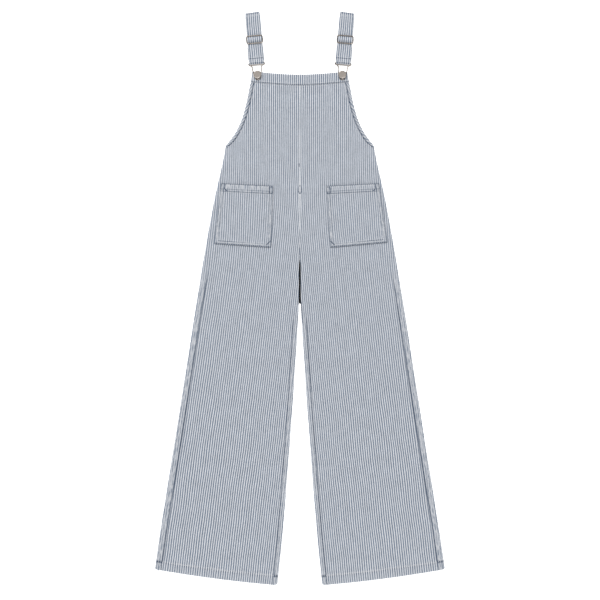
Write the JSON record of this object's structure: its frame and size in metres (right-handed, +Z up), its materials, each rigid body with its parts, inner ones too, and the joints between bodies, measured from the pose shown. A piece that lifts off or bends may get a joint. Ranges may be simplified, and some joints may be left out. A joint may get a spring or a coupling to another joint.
{
  "type": "wide-leg dungaree jumpsuit",
  "caption": "Striped denim bib-and-brace jumpsuit with wide legs, patch pockets and adjustable straps with wire buckles, laid flat",
  "frame": {"origin": "under the middle of the garment, on the surface it lies on", "axes": "+X across the garment to the right as seen from above, +Y from the hems to the straps, +Z up"},
  "size_m": [0.727, 1.434, 0.0107],
  "materials": {
    "denim_front": "washed hickory stripe denim, pale blue and off-white",
    "denim_back": "washed hickory stripe denim",
    "denim_band": "washed hickory stripe denim, folded double",
    "denim_binding": "washed hickory stripe denim, puckered",
    "denim_pocket": "washed hickory stripe denim",
    "denim_strap": "washed hickory stripe denim, doubled",
    "slider_nickel": "antique nickel",
    "buckle_nickel": "antique nickel",
    "button_nickel": "antique nickel"
  },
  "bodies": {
    "root": {"back_left": "denim_back", "back_right": "denim_back", "front_left": "denim_front", "front_right": "denim_front", "bib_band": "denim_band", "armhole_binding_left": "denim_binding", "armhole_binding_right": "denim_binding", "pocket_left": "denim_pocket", "pocket_right": "denim_pocket", "strap_left": "denim_strap", "strap_right": "denim_strap", "slider_left": "slider_nickel", "slider_right": "slider_nickel", "buckle_left": "buckle_nickel", "buckle_right": "buckle_nickel", "button_left": "button_nickel", "button_right": "button_nickel"}
  },
  "joints": []
}
